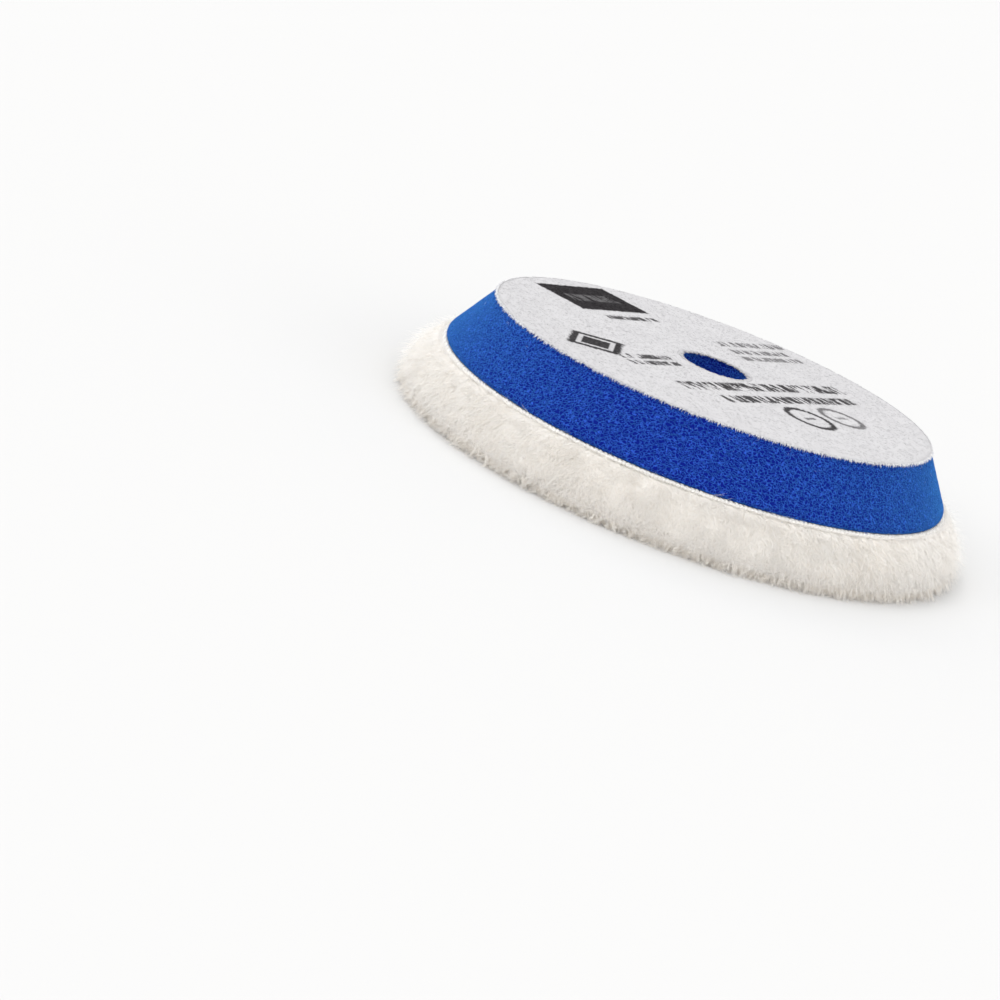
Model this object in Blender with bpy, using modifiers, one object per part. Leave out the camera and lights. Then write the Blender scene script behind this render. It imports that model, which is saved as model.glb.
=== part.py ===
"""A wool polishing pad on a foam interface, for a 125 mm hook-and-loop backing plate.

The pad lies on its wool face. The origin is the middle of that face, on the surface that
the pad lies on, and +Z runs up through the layers to the loop face. All sizes are in metres.

From the bottom: wool pile, the knitted ground that it grows from, an adhesive film, the blue
foam cone with its centring hole, a second film, and the loop fabric, as its ground and its nap.
The films are sunk into the foam's two faces, and the nap falls over the cut edges of its ground.
The hole is blind: it goes through the loop fabric and the foam, and stops at the wool's film.
"""

import math

import bpy

# Driving dimensions
LOOP_DIAMETER = 0.130
FOAM_BASE_DIAMETER = 0.1504
FOAM_HEIGHT = 0.0157
HOLE_DIAMETER = 0.022
WOOL_DIAMETER = 0.171

# Layer thicknesses, from the bottom up, and the clearance between neighbours
WOOL_PILE_HEIGHT = 0.0150
WOOL_GROUND_THICKNESS = 0.0006
ADHESIVE_THICKNESS = 0.0001
LOOP_GROUND_THICKNESS = 0.0004
LOOP_NAP_HEIGHT = 0.0004
LAYER_GAP = 0.00015

# The wool pile's outline: its flat sole, the height of its widest ring, and its neck
WOOL_SOLE_RADIUS = 0.0795
WOOL_WIDEST_HEIGHT = 0.005
WOOL_NECK_RADIUS = 0.077

# Edges: how far each layer stands out from or back from its neighbour, and small rounds
WOOL_GROUND_OVERHANG = 0.0008
FILM_SETBACK = 0.0020
NAP_SKIRT = 0.0006
FOAM_EDGE_ROUND = 0.0006
NAP_EDGE_ROUND = 0.0004

# Sizes that follow from those above
FOAM_BASE_RADIUS = FOAM_BASE_DIAMETER / 2
FOAM_TOP_RADIUS = LOOP_DIAMETER / 2
HOLE_RADIUS = HOLE_DIAMETER / 2
POCKET_DEPTH = ADHESIVE_THICKNESS + LAYER_GAP
CHANNEL_DEPTH = LOOP_GROUND_THICKNESS + LAYER_GAP
NAP_THICKNESS = CHANNEL_DEPTH + LOOP_NAP_HEIGHT

# Facets
TURN_STEPS = 96
FLARE_STEPS = 7
ROUND_STEPS = 5
EDGE_STEPS = 3
SMOOTH_BELOW = math.radians(32)
MERGE_DISTANCE = 0.00005

COLLECTION_NAME = "polishing_pad"

# Base colour, roughness and metallic value of each material
MATERIALS = {
    "loop_nap": ((0.75, 0.74, 0.76), 0.95, 0.0),
    "loop_ground": ((0.70, 0.69, 0.71), 0.90, 0.0),
    "foam": ((0.010, 0.045, 0.300), 0.85, 0.0),
    "adhesive": ((0.55, 0.56, 0.60), 0.40, 0.0),
    "wool_ground": ((0.74, 0.72, 0.68), 0.95, 0.0),
    "wool": ((0.80, 0.75, 0.67), 1.00, 0.0),
}


def clear_scene():
    for obj in list(bpy.data.objects):
        bpy.data.objects.remove(obj, do_unlink=True)


def make_collection():
    collection = bpy.data.collections.new(COLLECTION_NAME)
    bpy.context.scene.collection.children.link(collection)
    return collection


def make_material(name):
    color, roughness, metallic = MATERIALS[name]
    material = bpy.data.materials.new(name)
    material.use_nodes = True
    shader = material.node_tree.nodes["Principled BSDF"]
    shader.inputs["Base Color"].default_value = (*color, 1.0)
    shader.inputs["Roughness"].default_value = roughness
    shader.inputs["Metallic"].default_value = metallic
    material.diffuse_color = (*color, 1.0)
    return material


def arc(centre_x, centre_z, radius_x, radius_z, start_deg, end_deg, steps):
    """Points of an elliptical arc in the profile plane. 0 degrees is +X and 90 is +Z."""
    points = []
    for i in range(steps + 1):
        angle = math.radians(start_deg + (end_deg - start_deg) * i / steps)
        x = centre_x + radius_x * math.cos(angle)
        z = centre_z + radius_z * math.sin(angle)
        points.append((x, z))
    return points


def turned(name, profile, closed, material, collection):
    """Turns a profile in the XZ plane about Z. It runs down its outer side, top to bottom."""
    count = len(profile)
    edges = [(i, i + 1) for i in range(count - 1)]
    if closed:
        edges.append((count - 1, 0))
    outline = bpy.data.meshes.new(name + "_profile")
    outline.from_pydata([(x, 0.0, z) for x, z in profile], edges, [])
    obj = bpy.data.objects.new(name, outline)
    collection.objects.link(obj)

    screw = obj.modifiers.new("turn", "SCREW")
    screw.steps = TURN_STEPS
    screw.render_steps = TURN_STEPS
    screw.use_merge_vertices = True
    screw.merge_threshold = MERGE_DISTANCE

    bpy.context.view_layer.update()
    graph = bpy.context.evaluated_depsgraph_get()
    solid = bpy.data.meshes.new_from_object(obj.evaluated_get(graph))
    solid.name = name
    obj.modifiers.clear()
    obj.data = solid
    bpy.data.meshes.remove(outline)
    solid.materials.clear()
    solid.materials.append(material)
    solid.shade_smooth()
    solid.set_sharp_from_angle(angle=SMOOTH_BELOW)
    return obj


def disc(name, radius, bottom, thickness, material, collection):
    """A flat round layer without a hole."""
    top = bottom + thickness
    profile = [(0.0, top), (radius, top), (radius, bottom), (0.0, bottom)]
    return turned(name, profile, False, material, collection)


def ring(name, inner, outer, bottom, thickness, material, collection):
    """A flat round layer with a hole in its middle."""
    top = bottom + thickness
    profile = [(inner, bottom), (inner, top), (outer, top), (outer, bottom)]
    return turned(name, profile, True, material, collection)


def wool_pile(bottom, material, collection):
    """The pile flares out below its neck to a widest ring, and rounds under to its flat sole."""
    top = bottom + WOOL_PILE_HEIGHT
    widest = bottom + WOOL_WIDEST_HEIGHT
    wool_radius = WOOL_DIAMETER / 2
    profile = [(0.0, top)]
    for i in range(FLARE_STEPS):
        share = i / FLARE_STEPS
        bulge = (wool_radius - WOOL_NECK_RADIUS) * math.sin(share * math.pi / 2)
        profile.append((WOOL_NECK_RADIUS + bulge, top + (widest - top) * share))
    profile += arc(
        WOOL_SOLE_RADIUS,
        widest,
        wool_radius - WOOL_SOLE_RADIUS,
        WOOL_WIDEST_HEIGHT,
        0,
        -90,
        ROUND_STEPS,
    )
    profile.append((0.0, bottom))
    return turned("wool_pile", profile, False, material, collection)


def foam_interface(bottom, material, collection):
    """A cone of foam that narrows upwards, with the centring hole through it.

    Each face has a shallow round pocket for its film. The lower one crosses the hole, because
    the wool's film has no hole in it, and the upper one leaves a lip round the hole.
    """
    top = bottom + FOAM_HEIGHT
    slope = math.degrees(math.atan2(FOAM_BASE_RADIUS - FOAM_TOP_RADIUS, FOAM_HEIGHT))
    profile = [
        (HOLE_RADIUS, bottom + POCKET_DEPTH),
        (HOLE_RADIUS, top),
        (HOLE_RADIUS + FILM_SETBACK - LAYER_GAP, top),
        (HOLE_RADIUS + FILM_SETBACK - LAYER_GAP, top - POCKET_DEPTH),
        (FOAM_TOP_RADIUS - FILM_SETBACK + LAYER_GAP, top - POCKET_DEPTH),
        (FOAM_TOP_RADIUS - FILM_SETBACK + LAYER_GAP, top),
    ]
    profile += arc(
        FOAM_TOP_RADIUS - FOAM_EDGE_ROUND,
        top - FOAM_EDGE_ROUND,
        FOAM_EDGE_ROUND,
        FOAM_EDGE_ROUND,
        90,
        slope,
        EDGE_STEPS,
    )
    profile += [
        (FOAM_BASE_RADIUS, bottom),
        (FOAM_BASE_RADIUS - FILM_SETBACK + LAYER_GAP, bottom),
        (FOAM_BASE_RADIUS - FILM_SETBACK + LAYER_GAP, bottom + POCKET_DEPTH),
    ]
    return turned("foam_interface", profile, True, material, collection)


def loop_nap(bottom, material, collection):
    """The loops: a layer over the ground fabric, with a skirt at each of its cut edges."""
    top = bottom + NAP_THICKNESS
    ceiling = bottom + CHANNEL_DEPTH
    profile = [(HOLE_RADIUS, bottom), (HOLE_RADIUS, top)]
    profile += arc(
        FOAM_TOP_RADIUS - NAP_EDGE_ROUND,
        top - NAP_EDGE_ROUND,
        NAP_EDGE_ROUND,
        NAP_EDGE_ROUND,
        90,
        0,
        EDGE_STEPS,
    )
    profile += [
        (FOAM_TOP_RADIUS, bottom),
        (FOAM_TOP_RADIUS - NAP_SKIRT, bottom),
        (FOAM_TOP_RADIUS - NAP_SKIRT, ceiling),
        (HOLE_RADIUS + NAP_SKIRT, ceiling),
        (HOLE_RADIUS + NAP_SKIRT, bottom),
    ]
    return turned("loop_nap", profile, True, material, collection)


def build():
    clear_scene()
    collection = make_collection()
    materials = {name: make_material(name) for name in MATERIALS}

    level = 0.0
    wool_pile(level, materials["wool"], collection)

    level += WOOL_PILE_HEIGHT + LAYER_GAP
    disc(
        "wool_ground_fabric",
        FOAM_BASE_RADIUS + WOOL_GROUND_OVERHANG,
        level,
        WOOL_GROUND_THICKNESS,
        materials["wool_ground"],
        collection,
    )

    level += WOOL_GROUND_THICKNESS + LAYER_GAP
    disc(
        "wool_adhesive_film",
        FOAM_BASE_RADIUS - FILM_SETBACK,
        level,
        ADHESIVE_THICKNESS,
        materials["adhesive"],
        collection,
    )
    foam_interface(level, materials["foam"], collection)

    level += FOAM_HEIGHT
    ring(
        "loop_adhesive_film",
        HOLE_RADIUS + FILM_SETBACK,
        FOAM_TOP_RADIUS - FILM_SETBACK,
        level - ADHESIVE_THICKNESS,
        ADHESIVE_THICKNESS,
        materials["adhesive"],
        collection,
    )

    level += LAYER_GAP
    ring(
        "loop_ground_fabric",
        HOLE_RADIUS + NAP_SKIRT + LAYER_GAP,
        FOAM_TOP_RADIUS - NAP_SKIRT - LAYER_GAP,
        level,
        LOOP_GROUND_THICKNESS,
        materials["loop_ground"],
        collection,
    )
    loop_nap(level, materials["loop_nap"], collection)


build()
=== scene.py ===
"""The looks of the wool polishing pad: its foam, its loop fabric and its fleece.

The pad lies on its wool face, with +Z from the wool to the loop face. Lengths are in metres.
Inside the materials' node trees they are in millimetres, except for the depth of a bump.
"""

import math

import bpy
import numpy as np
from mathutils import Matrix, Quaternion, Vector


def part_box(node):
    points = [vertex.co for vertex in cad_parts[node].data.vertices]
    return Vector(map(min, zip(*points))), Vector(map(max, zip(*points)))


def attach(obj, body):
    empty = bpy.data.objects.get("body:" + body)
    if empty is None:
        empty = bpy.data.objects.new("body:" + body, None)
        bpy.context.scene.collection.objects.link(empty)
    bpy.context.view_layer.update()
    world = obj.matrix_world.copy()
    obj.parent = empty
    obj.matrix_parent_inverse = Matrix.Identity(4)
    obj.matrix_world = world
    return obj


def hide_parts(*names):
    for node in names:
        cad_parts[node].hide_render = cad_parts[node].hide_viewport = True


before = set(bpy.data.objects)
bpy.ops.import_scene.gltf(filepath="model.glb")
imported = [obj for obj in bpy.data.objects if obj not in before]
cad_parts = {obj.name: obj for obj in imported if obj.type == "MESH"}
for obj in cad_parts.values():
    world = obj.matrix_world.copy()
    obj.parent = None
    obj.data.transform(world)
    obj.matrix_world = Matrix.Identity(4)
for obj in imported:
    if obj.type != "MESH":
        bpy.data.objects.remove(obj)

MM = 0.001
TINY = 1e-12  # keeps a division away from a length of zero
UP = np.array([0.0, 0.0, 1.0])
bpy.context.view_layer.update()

# ---------------- sizes, read from the frame

WOOL_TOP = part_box("wool_pile")[1][2]
WOOL_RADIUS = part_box("wool_pile")[1][0]
GROUND_LOW, GROUND_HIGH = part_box("wool_ground_fabric")
GROUND_RADIUS = GROUND_HIGH[0]
FOAM_BASE_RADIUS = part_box("foam_interface")[1][0]
NAP_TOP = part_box("loop_nap")[1][2]
LOOP_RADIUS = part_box("loop_nap")[1][0]
LOOP_GROUND_LOW, LOOP_GROUND_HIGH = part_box("loop_ground_fabric")
HOLE_RADIUS = 11.0 * MM  # the one size here that the frame's boxes don't give

# ---------------- small tools for meshes


def make_piece(name, vertices, faces, material, nodes=()):
    """A mesh object from arrays. faces is a list of arrays, each with one row for a face."""
    mesh = bpy.data.meshes.new(name)
    counts = np.concatenate([np.full(len(f), f.shape[1], np.int32) for f in faces])
    corners = np.concatenate([f.reshape(-1) for f in faces]).astype(np.int32)
    starts = np.concatenate([[0], np.cumsum(counts)[:-1]]).astype(np.int32)
    mesh.vertices.add(len(vertices))
    mesh.vertices.foreach_set("co", np.asarray(vertices, np.float32).ravel())
    mesh.loops.add(len(corners))
    mesh.loops.foreach_set("vertex_index", corners)
    mesh.polygons.add(len(counts))
    mesh.polygons.foreach_set("loop_start", starts)
    mesh.polygons.foreach_set("use_smooth", np.full(len(counts), True))
    mesh.update(calc_edges=True)
    mesh.materials.append(material)
    obj = bpy.data.objects.new(name, mesh)
    bpy.context.scene.collection.objects.link(obj)
    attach(obj, "root")
    if nodes:
        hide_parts(*nodes)
    return obj


def set_attribute(obj, name, values):
    attribute = obj.data.attributes.new(name, "FLOAT", "POINT")
    attribute.data.foreach_set("value", np.asarray(values, np.float32).ravel())


def unit(vectors):
    return vectors / np.maximum(np.linalg.norm(vectors, axis=-1, keepdims=True), TINY)


def ways(angle):
    """The directions straight out from the Z axis, and round it, at an angle."""
    cos, sin, level = np.cos(angle), np.sin(angle), 0 * angle
    return np.stack([cos, sin, level], axis=-1), np.stack([-sin, cos, level], axis=-1)


def wave_field(points, wavelength, seed, waves=48, spread=0.25):
    """A smooth random field with bumps of one size, about 0 on average and 1 in its spread."""
    rng = np.random.default_rng(seed)
    directions = unit(rng.normal(size=(waves, 3)))
    lengths = wavelength * (1 + spread * rng.uniform(-1, 1, waves))
    phases = rng.uniform(0, 2 * math.pi, waves)
    total = np.zeros(len(points))
    for direction, length, phase in zip(directions, lengths, phases):
        total += np.cos(points @ direction * (2 * math.pi / length) + phase)
    return total / math.sqrt(waves / 2)


def arc(x, z, radius, start, end, steps):
    angles = np.radians(np.linspace(start, end, steps + 1))
    return [(x + radius * math.cos(a), z + radius * math.sin(a)) for a in angles]


def resampled(profile, step):
    """The points of a broken line, set close to one step apart, with its corners kept."""
    points = [np.array(profile[0])]
    for start, end in zip(profile[:-1], profile[1:]):
        start, end = np.array(start), np.array(end)
        count = max(1, round(float(np.linalg.norm(end - start)) / step))
        points += [start + (end - start) * i / count for i in range(1, count + 1)]
    return np.array(points)


def turned(profile, steps, closed):
    """Vertices and faces of a profile of (radius, z) turned about Z, and its outward normals.

    It runs down its outer side. A closed profile makes a ring, and an open one starts and
    ends on the axis.
    """
    profile = np.asarray(profile)
    count = len(profile)
    angles = np.arange(steps) * 2 * math.pi / steps
    tangent = np.gradient(profile, axis=0)
    if closed:
        tangent = np.roll(profile, -1, axis=0) - np.roll(profile, 1, axis=0)
    tangent = unit(tangent)
    normal = np.stack([-tangent[:, 1], tangent[:, 0]], axis=1)
    cos, sin = np.cos(angles)[:, None], np.sin(angles)[:, None]
    low, high = (0, count) if closed else (1, count - 1)
    r, z = profile[low:high, 0][None], profile[low:high, 1][None]
    nr, nz = normal[low:high, 0][None], normal[low:high, 1][None]
    ring = high - low
    vertices = np.stack([r * cos, r * sin, z + 0 * cos], axis=2).reshape(-1, 3)
    normals = np.stack([nr * cos, nr * sin, nz + 0 * cos], axis=2).reshape(-1, 3)
    i = np.arange(steps)[:, None] * ring
    i_next = (np.arange(steps)[:, None] + 1) % steps * ring
    j = np.arange(ring if closed else ring - 1)[None]
    j_next = (j + 1) % ring
    quads = np.stack([i + j, i + j_next, i_next + j_next, i_next + j], axis=2).reshape(-1, 4)
    faces = [quads]
    if not closed:
        top, bottom = len(vertices), len(vertices) + 1
        vertices = np.vstack([vertices, [0, 0, profile[0, 1]], [0, 0, profile[-1, 1]]])
        normals = np.vstack([normals, [0, 0, 1], [0, 0, -1]])
        i, i_next = i[:, 0], i_next[:, 0]
        faces.append(np.stack([np.full(steps, top), i, i_next], axis=1))
        end = ring - 1
        faces.append(np.stack([np.full(steps, bottom), i_next + end, i + end], axis=1))
    return vertices, faces, normals


# ---------------- fibres

FIBRE_SIDES = 3
FIBRE_THICKNESS = (0.7, 1.3)  # the least and the most, as shares of the radius asked for
MAP_INSET = 0.12  # the share of its cell in the UV map that a fibre leaves free on each side
MAP_TIP = (0.5, 1.0)
MAP_ROOT_END = ((0.66, 0.0), (0.33, 0.0), (0.33, 0.08))


class Fibres:
    """A set of fibres: their paths (fibres, points, 3), their radii (fibres, points), a
    direction for each that it doesn't run along, and its tone from 0, deep, to 1, pale."""

    def __init__(self, path, radii, side, tone):
        self.path, self.radii, self.side, self.tone = path, radii, side, tone

    def chosen(self, which):
        return Fibres(self.path[which], self.radii[which], self.side[which], self.tone[which])


def fibre_faces(points):
    """The faces of one fibre, as corners in its own numbering: tubes that close at both ends."""
    quads, ends = [], []
    for k in range(points - 2):
        for c in range(FIBRE_SIDES):
            d = (c + 1) % FIBRE_SIDES
            low, high = FIBRE_SIDES * k, FIBRE_SIDES * (k + 1)
            quads.append((low + c, low + d, high + d, high + c))
    last = FIBRE_SIDES * (points - 2)
    for c in range(FIBRE_SIDES):
        ends.append((last + c, last + (c + 1) % FIBRE_SIDES, last + FIBRE_SIDES))
    ends.append((2, 1, 0))
    return quads, ends


def fibres_piece(name, fibres, material):
    """One mesh of tapered three-sided tubes, with each fibre's tone and the way along it."""
    path, side = fibres.path, fibres.side[:, None]
    count, points = path.shape[:2]
    tangent = unit(np.gradient(path, axis=1))
    across = unit(side - (side * tangent).sum(-1, keepdims=True) * tangent)
    other = np.cross(tangent, across)
    turn = np.arange(FIBRE_SIDES) * 2 * math.pi / FIBRE_SIDES
    offsets = (
        across[:, :-1, None] * np.cos(turn)[:, None] + other[:, :-1, None] * np.sin(turn)[:, None]
    )
    rings = path[:, :-1, None] + offsets * fibres.radii[:, :-1, None, None]
    vertices = np.concatenate([rings.reshape(count, -1, 3), path[:, -1:]], axis=1)
    per = vertices.shape[1]
    quads, ends = fibre_faces(points)
    base = (np.arange(count) * per)[:, None, None]
    faces = [
        (base + np.array(quads)[None]).reshape(-1, 4),
        (base + np.array(ends)[None]).reshape(-1, 3),
    ]
    obj = make_piece(name, vertices.reshape(-1, 3), faces, material)
    along = np.append(np.repeat(np.arange(points - 1) / (points - 1), FIBRE_SIDES), 1.0)
    set_attribute(obj, "tone", np.repeat(fibres.tone, per))
    set_attribute(obj, "along", np.tile(along, count))
    add_fibre_map(obj, count, points, quads, ends)
    return obj


def add_fibre_map(obj, count, points, quads, ends):
    """A UV map in which each fibre has a small cell of its own, its length up the cell."""
    columns = math.ceil(math.sqrt(count))
    cell = 1 / columns

    def place(corner, last_side):
        """Where a corner lies in the cell. On the last side, the seam is at the far edge."""
        ring, at = divmod(corner, FIBRE_SIDES)
        if last_side and at == 0:
            at = FIBRE_SIDES
        return (at / FIBRE_SIDES, ring / (points - 1))

    local = []
    for quad in quads:
        last_side = max(corner % FIBRE_SIDES for corner in quad) == FIBRE_SIDES - 1
        local += [place(corner, last_side) for corner in quad]
    end_local = []
    for a, b, _ in ends[:-1]:
        end_local += [place(a, False), place(b, True), MAP_TIP]
    end_local += MAP_ROOT_END
    index = np.arange(count)
    corner = np.stack([index % columns, index // columns], axis=1)[:, None] * cell

    def spread(where):
        inside = MAP_INSET + (1 - 2 * MAP_INSET) * np.clip(np.array(where), 0, 1)
        return (corner + inside[None] * cell).reshape(-1, 2)

    uv = np.concatenate([spread(local), spread(end_local)])
    layer = obj.data.uv_layers.new(name="OFBake")
    layer.data.foreach_set("uv", uv.astype(np.float32).ravel())


def taper(rng, count, points, radius, tip=0.25):
    """Radii that vary from fibre to fibre and narrow towards the tip."""
    t = np.linspace(0, 1, points)[None]
    own_radius = radius * rng.uniform(*FIBRE_THICKNESS, count)[:, None]
    return own_radius * (1 - (1 - tip) * t**2)


def crimp(rng, path, length, side, wavelength, height, phase=None):
    """Waves a fibre from side to side, and half as much the other way."""
    count, points = path.shape[:2]
    t = np.linspace(0, 1, points)[None]
    phase = rng.uniform(0, 2 * math.pi, count) if phase is None else phase
    turns = length[:, None] * t / wavelength * 2 * math.pi + phase[:, None]
    grows = height * np.minimum(t * 3, 1)
    tangent = unit(np.gradient(path, axis=1))
    across = unit(np.cross(tangent, side[:, None]))
    other = np.cross(tangent, across)
    wave = across * (np.sin(turns) * grows)[..., None]
    return path + wave + other * (0.5 * np.cos(1.3 * turns) * grows)[..., None]


def level_paths(start, heading, reach, z):
    """Paths that run from a start along a heading, with how far each point is and its height."""
    return start[:, None] + ways(heading)[0][:, None] * reach[..., None] + UP * z[..., None]


# ---------------- small tools for materials


class Graph:
    """A material's node tree, with a short method for each kind of node used here."""

    def __init__(self, name, **sockets):
        self.material = bpy.data.materials.new(name)
        self.material.use_nodes = True
        self.tree = self.material.node_tree
        self.shader = self.tree.nodes["Principled BSDF"]
        for socket, value in sockets.items():
            self.put(value, self.shader.inputs[socket.replace("_", " ")])

    def put(self, value, target):
        """Links a socket to the target, or sets the target to a plain value."""
        if isinstance(value, bpy.types.NodeSocket):
            self.tree.links.new(value, target)
        elif isinstance(value, tuple) and len(target.default_value) == 4:
            target.default_value = (*value, 1.0)
        else:
            target.default_value = value

    def node(self, kind, inputs=(), **settings):
        made = self.tree.nodes.new(kind)
        for key, value in settings.items():
            setattr(made, key, value)
        for key, value in dict(inputs).items():
            self.put(value, made.inputs[key])
        return made

    def math(self, operation, a, b=0.0):
        return self.node("ShaderNodeMath", {0: a, 1: b}, operation=operation).outputs[0]

    def ramp(self, value, low, high, out_low=0.0, out_high=1.0):
        made = self.node(
            "ShaderNodeMapRange",
            {0: value, 1: low, 2: high, 3: out_low, 4: out_high},
            interpolation_type="SMOOTHSTEP",
            clamp=True,
        )
        return made.outputs[0]

    def mix(self, factor, a, b):
        """Two colours mixed. On a Mix node, inputs 6 and 7 and output 2 are the colour ones."""
        made = self.node("ShaderNodeMix", {0: factor, 6: a, 7: b}, data_type="RGBA")
        return made.outputs[2]

    def place(self, turn=0.0):
        """The point on the surface, in millimetres, and turned about Z if wanted."""
        where = self.node("ShaderNodeTexCoord").outputs["Object"]
        inputs = {"Vector": where, "Scale": (1 / MM,) * 3, "Rotation": (0.0, 0.0, turn)}
        return self.node("ShaderNodeMapping", inputs).outputs[0]

    def stretched(self, vector, scale):
        return self.node("ShaderNodeMapping", {"Vector": vector, "Scale": scale}).outputs[0]

    def noise(self, vector, scale, detail=2.0, roughness=0.5, distortion=0.0):
        inputs = {"Vector": vector, "Scale": scale, "Detail": detail}
        inputs.update({"Roughness": roughness, "Distortion": distortion})
        return self.node("ShaderNodeTexNoise", inputs).outputs[0]

    def walls(self, vector, scale, bend):
        """How far each point is from the walls of a foam's cells, as a share of a cell.

        The walls bend by up to half of bend each way, in millimetres, with a noise that is a
        little coarser than the cells.
        """
        inputs = {"Vector": vector, "Scale": scale * 0.8, "Detail": 1.0}
        noise = self.node("ShaderNodeTexNoise", inputs).outputs["Color"]
        inputs = {0: noise, 1: (bend,) * 3, 2: vector}
        bent = self.node("ShaderNodeVectorMath", inputs, operation="MULTIPLY_ADD").outputs[0]
        inputs = {"Vector": bent, "Scale": scale}
        made = self.node("ShaderNodeTexVoronoi", inputs, feature="DISTANCE_TO_EDGE")
        return made.outputs["Distance"]

    def attribute(self, name):
        return self.node("ShaderNodeAttribute", attribute_name=name).outputs["Fac"]

    def color(self, value):
        self.put(value, self.shader.inputs["Base Color"])

    def bump(self, height, distance, strength=1.0):
        inputs = {"Height": height, "Distance": distance, "Strength": strength}
        made = self.node("ShaderNodeBump", inputs)
        self.put(made.outputs[0], self.shader.inputs["Normal"])


# ---------------- materials

# painted shade: the dark blue deep in the foam's cells, where the walls shade the pits
FOAM_PIT_SHADE = (0.002, 0.007, 0.175)
FOAM_THREAD = (0.028, 0.088, 0.560)
FOAM_SHEEN = (0.08, 0.45, 1.0)
LINT = (0.36, 0.50, 0.80)
WOOL_DEEP = (0.895, 0.842, 0.768)
# painted warm shade: shadow and warm bounce light in the wool's gaps near the floor
WOOL_WARM_SHADE = (0.840, 0.750, 0.620)
WOOL_LIGHT = (0.950, 0.925, 0.889)
WOOL_PALE = (0.965, 0.950, 0.925)
WARM_SHADE_HEIGHTS = (0.5, 3.5)  # between these heights the painted warm shade near the floor fades out
WARM_SHADE_SHARE = 0.6
NAP_WHITE = (0.530, 0.524, 0.536)
NAP_SHADE = (0.507, 0.501, 0.513)
INK = (0.019, 0.017, 0.019)
# painted light: the fringe is far paler than the nap's white, to lift its ends out of the shade
# under the rim
FRINGE_DEEP = (0.74, 0.74, 0.75)
FRINGE_PALE = (0.93, 0.93, 0.93)
YARN_DEEP = (0.84, 0.83, 0.80)
YARN_PALE = (0.94, 0.935, 0.92)
FILM_DEEP = (0.42, 0.44, 0.50)
FILM_PALE = (0.62, 0.63, 0.66)
LOOP_KNIT_WHITE = (0.80, 0.79, 0.82)
LOOP_KNIT_SHADE = (0.60, 0.60, 0.62)
LOOP_KNIT_PITCH = 0.9
WOOL_KNIT_WHITE = (0.900, 0.890, 0.870)
WOOL_KNIT_SHADE = (0.640, 0.620, 0.580)
WOOL_KNIT_PITCH = 1.0

FOAM_STRETCH = (1.0, 1.0, 1.4)
FOAM_CELLS = 0.95  # cells to a millimetre
FOAM_BEND = 2.4
FOAM_WALL = (0.01, 0.12)  # where a wall starts to fade and where it ends, in cells from its middle
FOAM_BREAKS = (0.32, 0.55, 0.25, 1.0)  # two levels of a noise, and a wall's strength at each


def foam_material():
    """Open-cell foam: thin bright cell walls that wander between dark pits, whose dark blue is
    painted shade in the cells' hollows.
    """
    g = Graph(
        "foam_blue",
        Roughness=1.0,
        Sheen_Weight=0.65,
        Sheen_Roughness=0.45,
        Sheen_Tint=FOAM_SHEEN,
        Specular_IOR_Level=0.05,
    )
    at = g.place()
    away = g.walls(g.stretched(at, FOAM_STRETCH), FOAM_CELLS, FOAM_BEND)
    thread = g.ramp(away, *FOAM_WALL, 1.0, 0.0)
    broken = g.ramp(g.noise(at, 1.1, 1.0), *FOAM_BREAKS)
    # the pits take the painted shade, the walls the brighter blue
    g.color(g.mix(g.math("MULTIPLY", thread, broken), FOAM_PIT_SHADE, FOAM_THREAD))
    g.bump(thread, 0.3 * MM, 0.8)
    return g.material


def lint_material():
    """Stray pale fibres that cling to the foam."""
    g = Graph("lint", Roughness=0.9)
    g.color(g.mix(g.attribute("tone"), FOAM_THREAD, LINT))
    return g.material


def nap_material(name, bumpy):
    """Brushed loops in white, with the printed marks in dark grey."""
    g = Graph(name, Roughness=1.0, Specular_IOR_Level=0.1)
    at = g.place()
    cloud = g.noise(at, 0.10, 3.0)
    fuzz = g.noise(at, 1.6, 3.0, 0.6)
    tint = g.math("ADD", g.math("MULTIPLY", cloud, 0.5), g.math("MULTIPLY", fuzz, 0.5))
    white = g.mix(g.ramp(tint, 0.38, 0.62), NAP_SHADE, NAP_WHITE)
    g.color(g.mix(printed_marks(g), white, INK))
    if bumpy:
        g.bump(fuzz, 0.2 * MM, 0.5)
    return g.material


def fringe_material():
    """The pale cut ends of the loops at the disc's edges, without print, painted far paler than the
    nap's white: painted light that lifts them out of the shade under the rim.
    """
    g = Graph("loop_fringe", Roughness=1.0, Specular_IOR_Level=0.1)
    tip = g.mix(g.attribute("tone"), FRINGE_DEEP, FRINGE_PALE)
    g.color(g.mix(g.ramp(g.attribute("along"), 0.1, 0.7), NAP_WHITE, tip))
    return g.material


# Each printed mark: its kind, its middle across and down the print, its width and height, all
# in millimetres, and how dark it is. The print is turned on the disc. Nothing spells anything:
# a "row" is a line of broken strokes that stands where a line of small print would be.
PRINT_TURN = math.radians(58.5)
PRINTED_MARKS = (
    ("block", 2.2, -49.2, 33.0, 19.5, 1.0),
    ("row", 3.2, -34.0, 25.0, 2.8, 0.90),
    ("lozenge", -41.5, -12.6, 26.0, 17.5, 0.97),
    ("row", -29.2, -3.8, 24.5, 3.0, 0.92),
    ("row", -29.8, 0.5, 23.5, 2.8, 0.90),
    ("row", 43.1, -17.5, 35.8, 3.6, 0.74),
    ("row", 40.3, -11.5, 31.0, 3.2, 0.72),
    ("row", 40.2, -6.4, 32.0, 3.0, 0.66),
    ("row", 3.6, 15.5, 81.5, 5.4, 0.95),
    ("row", 5.4, 24.0, 67.5, 4.6, 0.93),
    ("ring", -3.3, 36.5, 15.6, 15.6, 0.95),
    ("ring", 14.3, 36.0, 14.6, 14.6, 0.72),
)
RING_LINE = 1.9
RING_DASH = (5.0, 1.4)
DASH_INK = 0.8
BLOCK_BAR = (23.0, 5.0)
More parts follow.
